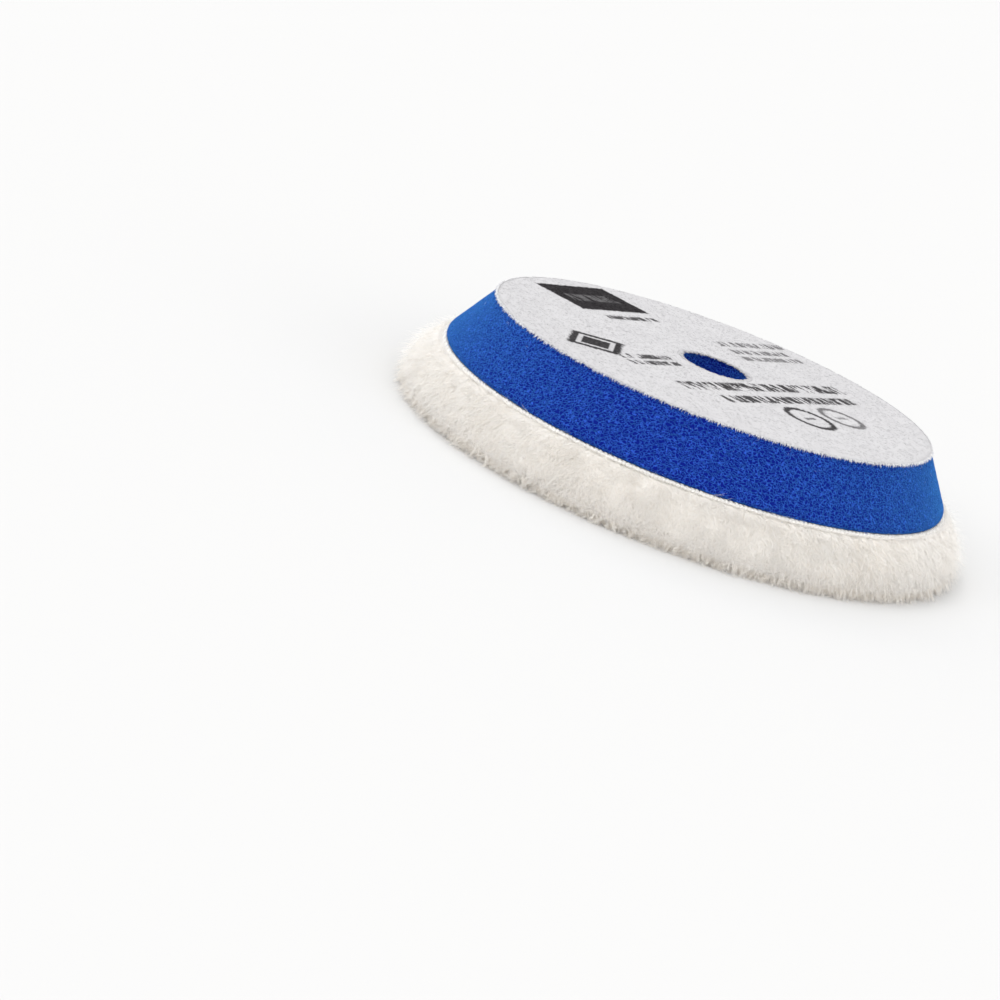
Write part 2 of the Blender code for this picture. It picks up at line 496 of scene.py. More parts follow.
BAR_INK = 0.17
LOZENGE_LINE = (0.62, 0.13)  # its place and its width, as shares of the way to the edge
LOZENGE_LINE_BARE = 0.9
INK_EDGE = 0.5
INK_RAGGED = 1.7
STROKE_SCALE = (0.95, 0.16, 1.0)
STROKE_CUT = (0.43, 0.50)
WEAR = (0.28, 0.5, 0.96, 1.0)  # two levels of a noise, and how much ink is left at each


def printed_marks(g):
    """How inked the surface is, from 0 to 1."""
    at = g.place(turn=-PRINT_TURN)
    split = g.node("ShaderNodeSeparateXYZ", {0: at})
    across, down = split.outputs[0], g.math("MULTIPLY", split.outputs[1], -1.0)
    ragged = g.math("MULTIPLY", g.math("SUBTRACT", g.noise(at, 1.3, 2.0), 0.5), INK_RAGGED)
    strokes = g.ramp(g.noise(g.stretched(at, STROKE_SCALE), 1.0, 1.0), *STROKE_CUT)
    wear = g.ramp(g.noise(at, 1.4, 2.0), *WEAR)

    def outside_box(x, y, width, height):
        past_side = g.math("SUBTRACT", x, width / 2)
        past_end = g.math("SUBTRACT", y, height / 2)
        return g.math("MAXIMUM", past_side, past_end)

    def inked(away, dark):
        """Ink where away, the distance past a mark's edge, is below zero."""
        return g.ramp(g.math("ADD", away, ragged), -INK_EDGE, INK_EDGE, dark, 0.0)

    ink = None
    for kind, middle_x, middle_y, width, height, dark in PRINTED_MARKS:
        x = g.math("ABSOLUTE", g.math("SUBTRACT", across, middle_x))
        y = g.math("ABSOLUTE", g.math("SUBTRACT", down, middle_y))
        if kind == "ring":
            away = g.math("SQRT", g.math("ADD", g.math("POWER", x, 2.0), g.math("POWER", y, 2.0)))
            away = g.math("ABSOLUTE", g.math("SUBTRACT", away, width / 2 - RING_LINE / 2))
            mark = inked(g.math("SUBTRACT", away, RING_LINE / 2), dark)
            dash = inked(outside_box(x, y, *RING_DASH), dark * DASH_INK)
            mark = g.math("MAXIMUM", mark, dash)
        elif kind == "lozenge":
            slant = g.math("ADD", g.math("DIVIDE", x, width / 2), g.math("DIVIDE", y, height / 2))
            away = g.math("MULTIPLY", g.math("SUBTRACT", slant, 1.0), height / 3)
            line_at, line_width = LOZENGE_LINE
            line = g.math("ABSOLUTE", g.math("SUBTRACT", slant, line_at))
            line = g.ramp(line, line_width * 0.5, line_width, LOZENGE_LINE_BARE, 0.0)
            mark = g.math("MULTIPLY", inked(away, dark), g.math("SUBTRACT", 1.0, line))
        else:
            mark = inked(outside_box(x, y, width, height), dark)
        if kind == "row":
            mark = g.math("MULTIPLY", mark, strokes)
        if kind == "block":
            bar = g.math("MULTIPLY", inked(outside_box(x, y, *BLOCK_BAR), BAR_INK), strokes)
            mark = g.math("MULTIPLY", mark, g.math("SUBTRACT", 1.0, bar))
        ink = mark if ink is None else g.math("MAXIMUM", ink, mark)
    return g.math("MULTIPLY", ink, wear)


def fleece_material():
    """The wool of the single fibres: a little deeper at the root and near the floor, as painted
    shade among the roots and a painted warm shade near the floor.
    """
    g = Graph("wool_fibre", Roughness=0.9, Sheen_Weight=0.3)
    tone = g.attribute("tone")
    along = g.attribute("along")
    body = g.mix(g.ramp(tone, 0.0, 0.6), WOOL_DEEP, WOOL_LIGHT)
    body = g.mix(g.ramp(tone, 0.6, 1.0), body, WOOL_PALE)
    # painted shade: each fibre a little deeper towards its root, where the fleece shades it
    body = g.mix(g.ramp(along, 0.0, 0.5, 0.2, 0.0), body, WOOL_DEEP)
    height = g.node("ShaderNodeSeparateXYZ", {0: g.place()}).outputs[2]
    # the painted warm shade is strongest near the floor and at the roots
    root = g.ramp(along, 0.1, 0.8, 1.0, 0.2)
    floor_shade = g.math("MULTIPLY", g.ramp(height, *WARM_SHADE_HEIGHTS, WARM_SHADE_SHARE, 0.0), root)
    g.color(g.mix(floor_shade, body, WOOL_WARM_SHADE))
    return g.material


def fleece_core_material():
    """The dense wool under the outer fibres."""
    g = Graph("wool_under", Roughness=1.0, Sheen_Weight=0.3)
    at = g.place()
    cloud = g.noise(at, 0.12, 3.0)
    fine = g.noise(at, 2.0, 4.0, 0.65, 0.8)
    g.color(g.mix(g.ramp(fine, 0.3, 0.7), WOOL_LIGHT, g.mix(cloud, WOOL_LIGHT, WOOL_PALE)))
    g.bump(fine, 0.4 * MM, 0.6)
    return g.material


def knit_material(name, light, deep, pitch):
    """Fine knitted ground: rows of stitches that run across the disc, with painted shade in the
    hollows between them.
    """
    g = Graph(name, Roughness=0.9)
    at = g.place()
    split = g.node("ShaderNodeSeparateXYZ", {0: at})
    wales = g.math("SINE", g.math("MULTIPLY", split.outputs[0], 2 * math.pi / pitch))
    rows = g.math("SINE", g.math("MULTIPLY", split.outputs[1], 2 * math.pi / (pitch * 1.4)))
    knit = g.ramp(g.math("ADD", wales, rows), -1.6, 1.6)
    height = g.math("ADD", knit, g.math("MULTIPLY", g.noise(at, 2.2, 2.0), 0.5))
    # painted shade: the colour follows the bump's height, so the hollows between stitches are
    # darker
    g.color(g.mix(g.ramp(height, 0.2, 1.2), deep, light))
    g.bump(height, 0.2 * MM, 0.8)
    return g.material


def yarn_material():
    """The white yarn of the edge stitches."""
    g = Graph("edge_yarn", Roughness=1.0, Specular_IOR_Level=0.1)
    g.color(g.mix(g.attribute("tone"), YARN_DEEP, YARN_PALE))
    return g.material


def film_material():
    """Milky hot-melt film with a faint web in it."""
    g = Graph("adhesive_film", Roughness=0.4)
    web = g.noise(g.place(), 0.7, 3.0, 0.6, 1.2)
    g.color(g.mix(g.ramp(web, 0.35, 0.65), FILM_DEEP, FILM_PALE))
    g.bump(web, 0.1 * MM, 0.5)
    return g.material


# ---------------- foam

FOAM_STEP = 0.40 * MM
FOAM_ROUGH = 0.09 * MM
FOAM_CELL = 1.4 * MM
FOAM_TOP = NAP_TOP - 0.55 * MM
FOAM_BOTTOM = GROUND_HIGH[2] + 0.05 * MM
FOAM_BASE_ROUND = 1.5 * MM
FOAM_BASE_TURN = -35  # degrees: where the base's rounding ends, below its widest point
FOAM_PINCH = 0.5 * MM  # how far the stitched edge draws the foam in
FOAM_TOP_ROUND = 0.5 * MM
LINT_COUNT = 240
LINT_LENGTH = (1.5 * MM, 5.5 * MM)
LINT_ZONE = (0.4 * MM, 14.0 * MM)  # how far above the foam's base it starts, and how far it goes on


def make_foam(material):
    """A cone of foam with a rounded top edge, its surface broken up by its cells.

    It reaches up to the nap and down to the wool's ground, so that no glue line shows.
    """
    widest = FOAM_BASE_RADIUS - FOAM_PINCH
    slope = math.degrees(math.atan2(widest - LOOP_RADIUS, FOAM_TOP - FOAM_BOTTOM))
    profile = [(HOLE_RADIUS, FOAM_BOTTOM), (HOLE_RADIUS, FOAM_TOP)]
    top, top_z = LOOP_RADIUS - FOAM_TOP_ROUND, FOAM_TOP - FOAM_TOP_ROUND
    profile += arc(top, top_z, FOAM_TOP_ROUND, 90, slope, steps=3)
    base, base_z = widest - FOAM_BASE_ROUND, FOAM_BOTTOM + FOAM_BASE_ROUND * 0.8
    profile += arc(base, base_z, FOAM_BASE_ROUND, slope, FOAM_BASE_TURN, steps=4)
    profile.append((base - 1 * MM, FOAM_BOTTOM))
    outside = resampled(profile[2:], FOAM_STEP)
    inside = resampled(profile[:2], 2 * FOAM_STEP)
    outline = np.vstack([inside, outside])
    steps = round(2 * math.pi * FOAM_BASE_RADIUS / FOAM_STEP)
    vertices, faces, normals = turned(outline, steps, closed=True)
    cells = 1 - np.abs(wave_field(vertices, FOAM_CELL, seed=11, waves=64))
    in_hole = np.hypot(vertices[:, 0], vertices[:, 1]) < HOLE_RADIUS + 1 * MM
    vertices = vertices + normals * (cells * FOAM_ROUGH * np.where(in_hole, 0.5, 1))[:, None]
    vertices[:, 2] = np.clip(vertices[:, 2], FOAM_BOTTOM, FOAM_TOP)
    foam = make_piece("foam", vertices, faces, material, ["foam_interface"])


def make_lint(material):
    """Pale curly fibres on the foam's side, most of them near its base."""
    rng = np.random.default_rng(seed=13)
    points = 16
    angle = rng.uniform(0, 2 * math.pi, LINT_COUNT)
    up = rng.uniform(0, 1, LINT_COUNT) ** 2.2
    z = FOAM_BOTTOM + LINT_ZONE[0] + LINT_ZONE[1] * up
    rise = (z - FOAM_BOTTOM) / (FOAM_TOP - FOAM_BOTTOM)
    radius = FOAM_BASE_RADIUS - FOAM_PINCH + (LOOP_RADIUS - FOAM_BASE_RADIUS) * rise + 0.2 * MM
    outward, around = ways(angle)
    root = outward * radius[:, None] + UP * z[:, None]
    slope = unit(np.array([LOOP_RADIUS - FOAM_BASE_RADIUS, FOAM_TOP - FOAM_BOTTOM]))
    upward = outward * slope[0] + UP * slope[1]
    normal = np.cross(around, upward)
    lean = rng.uniform(-1.2, 1.2, LINT_COUNT)[:, None]
    direction = around * np.cos(lean) + upward * np.sin(lean)
    length = rng.uniform(*LINT_LENGTH, LINT_COUNT)
    t = np.linspace(0, 1, points)[None, :, None]
    path = root[:, None] + direction[:, None] * length[:, None, None] * t
    path = path + normal[:, None] * (0.15 * MM * np.sin(math.pi * t))
    path = crimp(rng, path, length, direction, wavelength=2.4 * MM, height=0.3 * MM)
    tone = rng.uniform(0.3, 1.0, LINT_COUNT)
    fibres = Fibres(path, taper(rng, LINT_COUNT, points, 0.05 * MM), normal, tone)
    fibres_piece("foam_lint", fibres, material)


# ---------------- loop fabric

NAP_LOOPS = 21000
NAP_PIECES = 3
NAP_FIBRE_RADIUS = 0.032 * MM
RIM_FIBRES = 5200
HOLE_FIBRES = 1100
FRINGE_FIBRE_RADIUS = 0.075 * MM


def make_loop_fabric(nap, ground):
    """The fabric's ground, and over it the dense body of its loops."""
    floor = LOOP_GROUND_HIGH[2] + 0.03 * MM
    lip = FOAM_TOP + 0.03 * MM
    profile = [
        (HOLE_RADIUS + 0.2 * MM, lip),
        (HOLE_RADIUS + 0.1 * MM, NAP_TOP - 0.25 * MM),
        (HOLE_RADIUS + 0.6 * MM, NAP_TOP - 0.15 * MM),
        (LOOP_RADIUS - 0.7 * MM, NAP_TOP - 0.15 * MM),
        (LOOP_RADIUS - 0.1 * MM, NAP_TOP - 0.35 * MM),
        (LOOP_RADIUS + 0.1 * MM, lip),
    ]
    vertices, faces, normals = turned(resampled(profile, 0.6 * MM), 640, closed=True)
    height = wave_field(vertices, 1.3 * MM, seed=41) * 0.04 * MM
    vertices = vertices + normals * height[:, None]
    vertices[:, 2] = np.maximum(vertices[:, 2], floor)
    body = make_piece("loop_pile", vertices, faces, nap, ["loop_nap"])
    inner, outer = HOLE_RADIUS + 0.8 * MM, LOOP_RADIUS - 0.8 * MM
    profile = [
        (inner, LOOP_GROUND_LOW[2]),
        (inner, LOOP_GROUND_HIGH[2]),
        (outer, LOOP_GROUND_HIGH[2]),
        (outer, LOOP_GROUND_LOW[2]),
    ]
    vertices, faces, _ = turned(resampled(profile, 1.5 * MM), 320, closed=True)
    cloth = make_piece(
        "loop_fabric_ground", vertices, faces, ground, ["loop_ground_fabric"]
    )
    return cloth, body


def grow_loops(rng):
    """Short loops that lie over the whole disc, each up and down again."""
    points = 4
    inner, outer = HOLE_RADIUS + 0.3 * MM, LOOP_RADIUS - 0.3 * MM
    share = rng.uniform(0, 1, NAP_LOOPS)
    radius = np.sqrt(inner**2 + (outer**2 - inner**2) * share)
    angle = rng.uniform(0, 2 * math.pi, NAP_LOOPS)
    heading = rng.uniform(0, 2 * math.pi, NAP_LOOPS)
    length = rng.uniform(0.6, 1.4, NAP_LOOPS) * MM
    t = np.linspace(0, 1, points)[None]
    top = rng.uniform(0.03, 0.10, NAP_LOOPS)[:, None] * MM
    z = NAP_TOP - 0.17 * MM + top * np.sin(math.pi * (0.12 + 0.76 * t))
    middle = ways(angle)[0] * radius[:, None]
    path = level_paths(middle, heading, length[:, None] * (t - 0.5), z)
    side = np.tile(UP, (NAP_LOOPS, 1))
    radii = taper(rng, NAP_LOOPS, points, NAP_FIBRE_RADIUS, tip=0.8)
    return Fibres(path, radii, side, rng.uniform(0, 1, NAP_LOOPS))


def grow_fringe(rng, count, radius, outward, low, high, drop):
    """Cut loop ends at one of the disc's edges, which bend over it and hang down.

    outward is 1 at the rim and -1 at the hole. Lengths lie between low and high, in
    millimetres, and drop is how far an end falls for its length.
    """
    points = 5
    angle = rng.uniform(0, 2 * math.pi, count)
    heading = angle + rng.normal(0, 0.6, count)
    back = rng.uniform(0.0, 0.3, count) * MM
    start = radius - outward * back
    length = rng.uniform(low, high, count) * MM
    t = np.linspace(0, 1, points)[None]
    reach = length[:, None] * np.sin(t * math.pi / 2) * outward
    fall = length * rng.uniform(0.2, 1.0, count) * drop
    z = NAP_TOP - 0.16 * MM - rng.uniform(0, 0.25, count)[:, None] * MM - fall[:, None] * t**1.6
    path = level_paths(ways(angle)[0] * start[:, None], heading, reach, z)
    side = np.tile(UP, (count, 1))
    radii = taper(rng, count, points, FRINGE_FIBRE_RADIUS, tip=0.5)
    return Fibres(path, radii, side, rng.uniform(0, 1, count))


def make_nap(nap, fringe):
    """The loops over the disc, in sectors, and the fringes at its rim and round its hole."""
    rng = np.random.default_rng(seed=43)
    loops = grow_loops(rng)
    angle = np.arctan2(loops.path[:, 0, 1], loops.path[:, 0, 0]) % (2 * math.pi)
    sector = (angle / (2 * math.pi / NAP_PIECES)).astype(int)
    pieces = []
    for k in range(NAP_PIECES):
        name = f"loops_{k + 1}"
        pieces.append(fibres_piece(name, loops.chosen(sector == k), nap))
    rim = grow_fringe(rng, RIM_FIBRES, LOOP_RADIUS, outward=1.0, low=0.3, high=1.1, drop=1.2)
    hole = grow_fringe(rng, HOLE_FIBRES, HOLE_RADIUS, outward=-1.0, low=0.5, high=1.9, drop=0.3)
    pieces.append(fibres_piece("rim_fringe", rim, fringe))
    pieces.append(fibres_piece("hole_fringe", hole, nap))
    return pieces


# ---------------- the wool's knitted ground

STITCH_PITCH = 1.35 * MM
STITCH_STRANDS = 5
STITCH_WIDTH = 0.62 * MM
STITCH_SLANT = 0.55 * MM
STITCH_REACH = 0.27 * MM
STITCH_ARC = (115, -45)  # degrees, from the foam's side over to the fabric
STRAND_RADIUS = 0.062 * MM


def grow_stitches():
    """Small stitches of yarn that run round the foot of the foam, on the ground fabric."""
    rng = np.random.default_rng(seed=51)
    points = 8
    count = round(2 * math.pi * GROUND_RADIUS / STITCH_PITCH)
    total = count * STITCH_STRANDS
    middle = (np.arange(count) + rng.uniform(-0.12, 0.12, count)) * 2 * math.pi / count
    across = np.tile(np.linspace(-0.5, 0.5, STITCH_STRANDS), count) * STITCH_WIDTH
    angle = np.repeat(middle, STITCH_STRANDS) + across / GROUND_RADIUS
    reach = STITCH_REACH * np.repeat(rng.uniform(0.55, 1.15, count), STITCH_STRANDS)
    reach = reach * rng.uniform(0.92, 1.06, total)
    turn = np.radians(np.linspace(*STITCH_ARC, points))[None]
    radius = FOAM_BASE_RADIUS - FOAM_PINCH + 0.1 * MM + reach[:, None] * np.cos(turn)
    height = GROUND_HIGH[2] + 0.05 * MM + reach[:, None] * np.sin(turn)
    slant = STITCH_SLANT * np.linspace(-0.5, 0.5, points)[None] / GROUND_RADIUS
    outward = ways(angle[:, None] + slant)[0]
    path = outward * radius[..., None] + UP * height[..., None]
    radii = taper(rng, total, points, STRAND_RADIUS, tip=0.7)
    return Fibres(path, radii, ways(angle)[1], rng.uniform(0, 1, total))


def make_wool_ground(knit, stitch):
    """The disc of knitted fabric that the wool grows from, and the stitches at its edge."""
    profile = [
        (0.0, GROUND_HIGH[2]),
        (GROUND_RADIUS - 0.2 * MM, GROUND_HIGH[2]),
        (GROUND_RADIUS - 0.2 * MM, GROUND_LOW[2]),
        (0.0, GROUND_LOW[2]),
    ]
    vertices, faces, _ = turned(resampled(profile, 1.5 * MM), 320, closed=False)
    nodes = ["wool_ground_fabric"]
    ground = make_piece("wool_ground", vertices, faces, knit, nodes)
    edge = fibres_piece("ground_edge_stitches", grow_stitches(), stitch)
    return ground, edge


# ---------------- fleece

FLARE_NECK = GROUND_RADIUS - 0.2 * MM
FLARE_WIDE = WOOL_RADIUS - 3.0 * MM
FLARE_FULLNESS = 0.8
WIDE_HEIGHT = 3.6 * MM
SOLE_RADIUS = 80.0 * MM
SOLE_LIFT = 1.0 * MM
SIDE_TURN = 0.62
OUTLINE_LENGTH = 21.5 * MM
FLOOR_CLEARANCE = 0.12 * MM
CORE_INSET = 1.3 * MM
ROOT_DEPTH = 0.3 * MM  # how far below the surface the fibres start
MIDDLE_TONE = 0.62


def fleece_outline(s):
    """The fleece's outline of (radius, z), for s from 0, its neck under the ground fabric,
    through SIDE_TURN at its widest, to 1, where it meets its sole."""
    s = np.asarray(s, float)
    upper = np.clip(s / SIDE_TURN, 0, 1)
    turn = np.clip((s - SIDE_TURN) / (1 - SIDE_TURN), 0, 1) * math.pi / 2
    flare = np.sin(upper * math.pi / 2) ** FLARE_FULLNESS
    radius = FLARE_NECK + (FLARE_WIDE - FLARE_NECK) * flare
    neck = GROUND_HIGH[2] - 0.1 * MM
    height = neck + (WIDE_HEIGHT - neck) * upper
    under = s > SIDE_TURN
    radius = np.where(under, SOLE_RADIUS + (FLARE_WIDE - SOLE_RADIUS) * np.cos(turn), radius)
    height = np.where(under, WIDE_HEIGHT - (WIDE_HEIGHT - SOLE_LIFT) * np.sin(turn), height)
    return radius, height


def on_fleece(angle, s):
    """Points on the fleece's side, the outward normal there, and the ways down and around."""
    step = 0.004
    radius, height = fleece_outline(s)
    r0, z0 = fleece_outline(np.clip(s - step, 0, 1))
    r1, z1 = fleece_outline(np.clip(s + step, 0, 1))
    down = unit(np.stack([r1 - r0, z1 - z0], axis=-1))
    outward, around = ways(angle)
    point = outward * radius[..., None] + UP * height[..., None]
    along = outward * down[..., :1] + UP * down[..., 1:]
    normal = UP * down[..., :1] - outward * down[..., 1:]
    return point, normal, along, around


def make_fleece_core(material):
    """The dense wool under the fibres: the sole, the side and the top under the ground."""
    radius, height = fleece_outline(np.linspace(0, 1, 44))
    side = np.stack([radius - CORE_INSET, height], axis=1)
    cap_height = WOOL_TOP - 0.1 * MM
    cap = [(0.0, cap_height), (GROUND_RADIUS - 6 * MM, cap_height)]
    sole = resampled([tuple(side[-1]), (0.0, SOLE_LIFT)], 1.6 * MM)[1:]
    profile = np.vstack([cap, side, sole])
    vertices, faces, normals = turned(profile, 620, closed=False)
    lumps = wave_field(vertices, 8 * MM, seed=21, waves=40) * 0.16 * MM
    tufts = wave_field(vertices, 2.4 * MM, seed=22) * 0.10 * MM
    vertices = vertices + normals * (lumps + tufts)[:, None]
    vertices[:, 2] = np.clip(vertices[:, 2], 0.25 * MM, WOOL_TOP - 0.02 * MM)
    core = make_piece("fleece_core", vertices, faces, material, ["wool_pile"])


def gathered(path, members, share):
    """Fibres drawn towards the middle of their lock, more and more towards the tips."""
    total, points = path.shape[:2]
    groups = path.reshape(-1, members, points, 3)
    middle = groups.mean(axis=1, keepdims=True)
    pull = (share * np.linspace(0, 1, points) ** 1.5)[None, None, :, None]
    return (groups * (1 - pull) + middle * pull).reshape(total, points, 3)


def off_the_floor(path):
    path[..., 2] = np.maximum(path[..., 2], FLOOR_CLEARANCE)
    return path


def grow_lying(rng, shape):
    """Fibres in locks that lie along the fleece's side, swirled a little this way and that.

    shape is a dict: the number of locks and of fibres in each, the stretch of the outline they
    start on, the points and the length of a fibre, how far its tip lifts, how far a lock
    gathers, a fibre's radius and its wave.
    """
    locks, members, points = shape["locks"], shape["members"], shape["points"]
    lock_angle = rng.uniform(0, 2 * math.pi, locks)
    lock_s = np.maximum(rng.uniform(*shape["s"], locks), 0)
    where = on_fleece(lock_angle, lock_s)[0]
    swirl = 0.3 * wave_field(where, 17 * MM, seed=31, waves=24)
    lock_lean = swirl + rng.normal(0, 0.8, locks)
    lock_phase = rng.uniform(0, 2 * math.pi, locks)
    cloud = 0.07 * wave_field(where, 22 * MM, seed=33, waves=20)
    lock_tone = MIDDLE_TONE + cloud + rng.normal(0, 0.06, locks)
    total = locks * members
    angle = np.repeat(lock_angle, members) + rng.normal(0, 0.7 * MM, total) / WOOL_RADIUS
    s = np.clip(np.repeat(lock_s, members) + rng.normal(0, 0.035, total), 0, 0.995)
    lean = (np.repeat(lock_lean, members) + rng.normal(0, 0.3, total))[:, None]
    own_length = shape["length"] * rng.uniform(0.6, 1.25, total)
    clump = np.clip(1 + 0.35 * wave_field(where, 5 * MM, seed=35, waves=32), 0.1, 2.6)
    own_lift = shape["lift"] * np.repeat(clump, members) * rng.uniform(0.2, 1.8, total)
    t = np.linspace(0, 1, points)[None]
    travel = own_length[:, None] * t
    s_path = s[:, None] + travel * np.cos(lean) / OUTLINE_LENGTH
    over = np.maximum(s_path - 1.0, 0) * OUTLINE_LENGTH
    angle_path = angle[:, None] + travel * np.sin(lean) / WOOL_RADIUS
    point, normal, along, _ = on_fleece(angle_path, np.clip(s_path, 0, 1))
    rise = -ROOT_DEPTH + own_lift[:, None] * t**1.5
    path = point + normal * rise[..., None] + along * (0.35 * over)[..., None]
    phase = np.repeat(lock_phase, members) + rng.normal(0, 0.8, total)
    path = crimp(rng, path, own_length, normal[:, 0], *shape["wave"], phase)
    path = off_the_floor(gathered(path, members, shape["gather"]))
    tone = np.clip(np.repeat(lock_tone, members) + rng.normal(0, 0.22, total), 0, 1)
    return Fibres(path, taper(rng, total, points, shape["radius"]), normal[:, 0], tone)


def grow_standing(rng, shape):
    """Fibres in locks that stand off the fleece.

    shape is a dict like grow_lying's, but in place of the lift it has the rise off the surface
    and its spread, in radians, the droop, a lock's width, and how far its roots are raised.
    """
    locks, members, points = shape["locks"], shape["members"], shape["points"]
    lock_angle = rng.uniform(0, 2 * math.pi, locks)
    lock_s = rng.uniform(*shape["s"], locks)
    lock_lean = rng.normal(0, 0.75, locks)
    lock_rise = shape["rise"] + rng.normal(0, shape["spread"], locks)
    lock_length = shape["length"] * rng.uniform(0.65, 1.25, locks)
    lock_phase = rng.uniform(0, 2 * math.pi, locks)
    lock_tone = rng.normal(MIDDLE_TONE, 0.12, locks)
    total = locks * members
    angle = np.repeat(lock_angle, members) + rng.normal(0, shape["width"], total) / WOOL_RADIUS
    s = np.repeat(lock_s, members) + rng.normal(0, shape["width"], total) / OUTLINE_LENGTH
    s = np.clip(s, 0, 0.995)
    point, normal, along, around = on_fleece(angle, s)
    lean = (np.repeat(lock_lean, members) + rng.normal(0, 0.15, total))[:, None]
    rise = (np.repeat(lock_rise, members) + rng.normal(0, 0.12, total))[:, None]
    flat = along * np.cos(lean) + around * np.sin(lean)
    direction = flat * np.cos(rise) + normal * np.sin(rise)
    own_length = np.repeat(lock_length, members) * rng.uniform(0.8, 1.15, total)
    t = np.linspace(0, 1, points)[None, :, None]
    travel = own_length[:, None, None] * t
    raised = point + UP * rng.uniform(0, shape["raised"], (total, 1))
    path = (raised - normal * ROOT_DEPTH)[:, None] + direction[:, None] * travel
    path = path - UP * shape["droop"] * travel * t
    phase = np.repeat(lock_phase, members) + rng.normal(0, 0.5, total)
    path = crimp(rng, path, own_length, normal, *shape["wave"], phase)
    path = off_the_floor(gathered(path, members, shape["gather"]))
    tone = np.clip(np.repeat(lock_tone, members) + rng.normal(0, 0.12, total), 0, 1)
    return Fibres(path, taper(rng, total, points, shape["radius"]), normal, tone)


SIDE = {
    "locks": 10600,
    "members": 8,
    "s": (-0.08, 0.97),
    "points": 5,
    "length": 3.4 * MM,
    "lift": 0.6 * MM,
    "wave": (1.9 * MM, 0.2 * MM),
    "gather": 0.25,
    "radius": 0.050 * MM,
}
TUFT = {
    "locks": 3300,
    "members": 5,
    "s": (0.66, 0.98),
    "points": 8,
    "length": 3.6 * MM,
    "rise": 0.62,
    "spread": 0.34,
    "droop": 0.25,
    "wave": (1.35 * MM, 0.30 * MM),
    "gather": 0.6,
    "width": 0.40 * MM,
    "radius": 0.050 * MM,
    "raised": 0.0,
}
HALO = {
    "locks": 9500,
    "members": 2,
    "s": (0.02, 0.98),
    "points": 6,
    "length": 5.0 * MM,
    "rise": 0.60,
    "spread": 0.30,
    "droop": 0.12,
    "wave": (3.0 * MM, 0.25 * MM),
    "gather": 0.1,
    "width": 1.0 * MM,
    "radius": 0.026 * MM,
    "raised": 0.0,
}
COLLAR_FIBRES = 8000
SOLE_FIBRES = 20000
SIDE_SECTORS = 12
TUFT_SECTORS = 4
HALO_SECTORS = 4
SOLE_SECTORS = 2


def grow_collar(rng):
    """Short wool that rises through the edge of the ground fabric, against the foam."""
    count, points = COLLAR_FIBRES, 5
    angle = rng.uniform(0, 2 * math.pi, count)
    radius = rng.uniform(FOAM_BASE_RADIUS - 0.2 * MM, GROUND_RADIUS + 0.6 * MM, count)
    outward, around = ways(angle)
    root = outward * radius[:, None] + UP * (GROUND_HIGH[2] - 0.45 * MM)
    lean = outward * rng.uniform(-0.3, 1.0, (count, 1)) + around * rng.normal(0, 0.5, (count, 1))
    direction = unit(lean + UP * 0.9)
    length = rng.uniform(0.7, 1.35, count) * MM
    t = np.linspace(0, 1, points)[None, :, None]
    path = root[:, None] + direction[:, None] * length[:, None, None] * t
    path = path + outward[:, None] * (0.35 * length[:, None, None] * t**2)
    path = crimp(rng, path, length, outward, wavelength=1.2 * MM, height=0.08 * MM)
    tone = np.clip(rng.normal(MIDDLE_TONE, 0.16, count), 0, 1)
    return Fibres(path, taper(rng, count, points, 0.05 * MM), outward, tone)


def grow_sole(rng):
    """Short fibres that lie under the pad, on what it rests on."""
    count, points = SOLE_FIBRES, 4
    radius = np.sqrt(rng.uniform(0, 1, count)) * (SOLE_RADIUS + 0.5 * MM)
    angle = rng.uniform(0, 2 * math.pi, count)
    root = ways(angle)[0] * radius[:, None]
    heading = 3 * wave_field(root, 30 * MM, seed=61, waves=20) + rng.normal(0, 0.5, count)
    length = rng.uniform(2.5, 5.0, count) * MM
    t = np.linspace(0, 1, points)[None]
    lowest = FLOOR_CLEARANCE * (1 + rng.uniform(0, 4, (count, 1)))
    z = (SOLE_LIFT + 0.2 * MM) * (1 - t) ** 1.5 + lowest
    path = level_paths(root, heading, length[:, None] * t, z)
    side = np.tile(-UP, (count, 1))
    tone = np.clip(rng.normal(0.6, 0.15, count), 0, 1)
    return Fibres(path, taper(rng, count, points, 0.08 * MM), side, tone)


def sectors_piece(name, fibres, material, count):
    """The fibres shared out to pieces that each cover a sector of the pad."""
    angle = np.arctan2(fibres.path[:, 0, 1], fibres.path[:, 0, 0]) % (2 * math.pi)
    sector = (angle / (2 * math.pi / count)).astype(int)
    for k in range(count):
        piece = name if count == 1 else f"{name}_{k + 1:02d}"
        fibres_piece(piece, fibres.chosen(sector == k), material)


def make_fleece(material):
    """All the wool's fibres. They share one row of random draws, so their order matters."""
    rng = np.random.default_rng(seed=5)
    side = grow_lying(rng, SIDE)
    tufts = grow_standing(rng, TUFT)
    halo = grow_standing(rng, HALO)
    sectors_piece("fleece_side", side, material, SIDE_SECTORS)
    sectors_piece("fleece_tufts", tufts, material, TUFT_SECTORS)
    sectors_piece("fleece_halo", halo, material, HALO_SECTORS)
    sectors_piece("fleece_collar", grow_collar(rng), material, 1)
    sectors_piece("fleece_sole", grow_sole(rng), material, SOLE_SECTORS)


# ---------------- camera, light and floor

CAMERA_AT = (0.0, -0.64126, 0.16344)
CAMERA_TOWARDS = (-0.04314, -0.01490, -0.02307)
CAMERA_ROLL = math.radians(-20.1)
CAMERA_LENS = 82.8
SKY = 0.90
SKY_TINT = (1.0, 0.992, 0.98)
SEEN_SKY = 0.985
FLOOR_WHITE = (0.629, 0.629, 0.629)
FLOOR_RADIUS = 40.0
FLOOR_SIDES = 96
LIGHT_BOUNCES = 14  # pale wool passes light on many times, and turns grey with fewer
WHITE = (1.0, 1.0, 1.0)

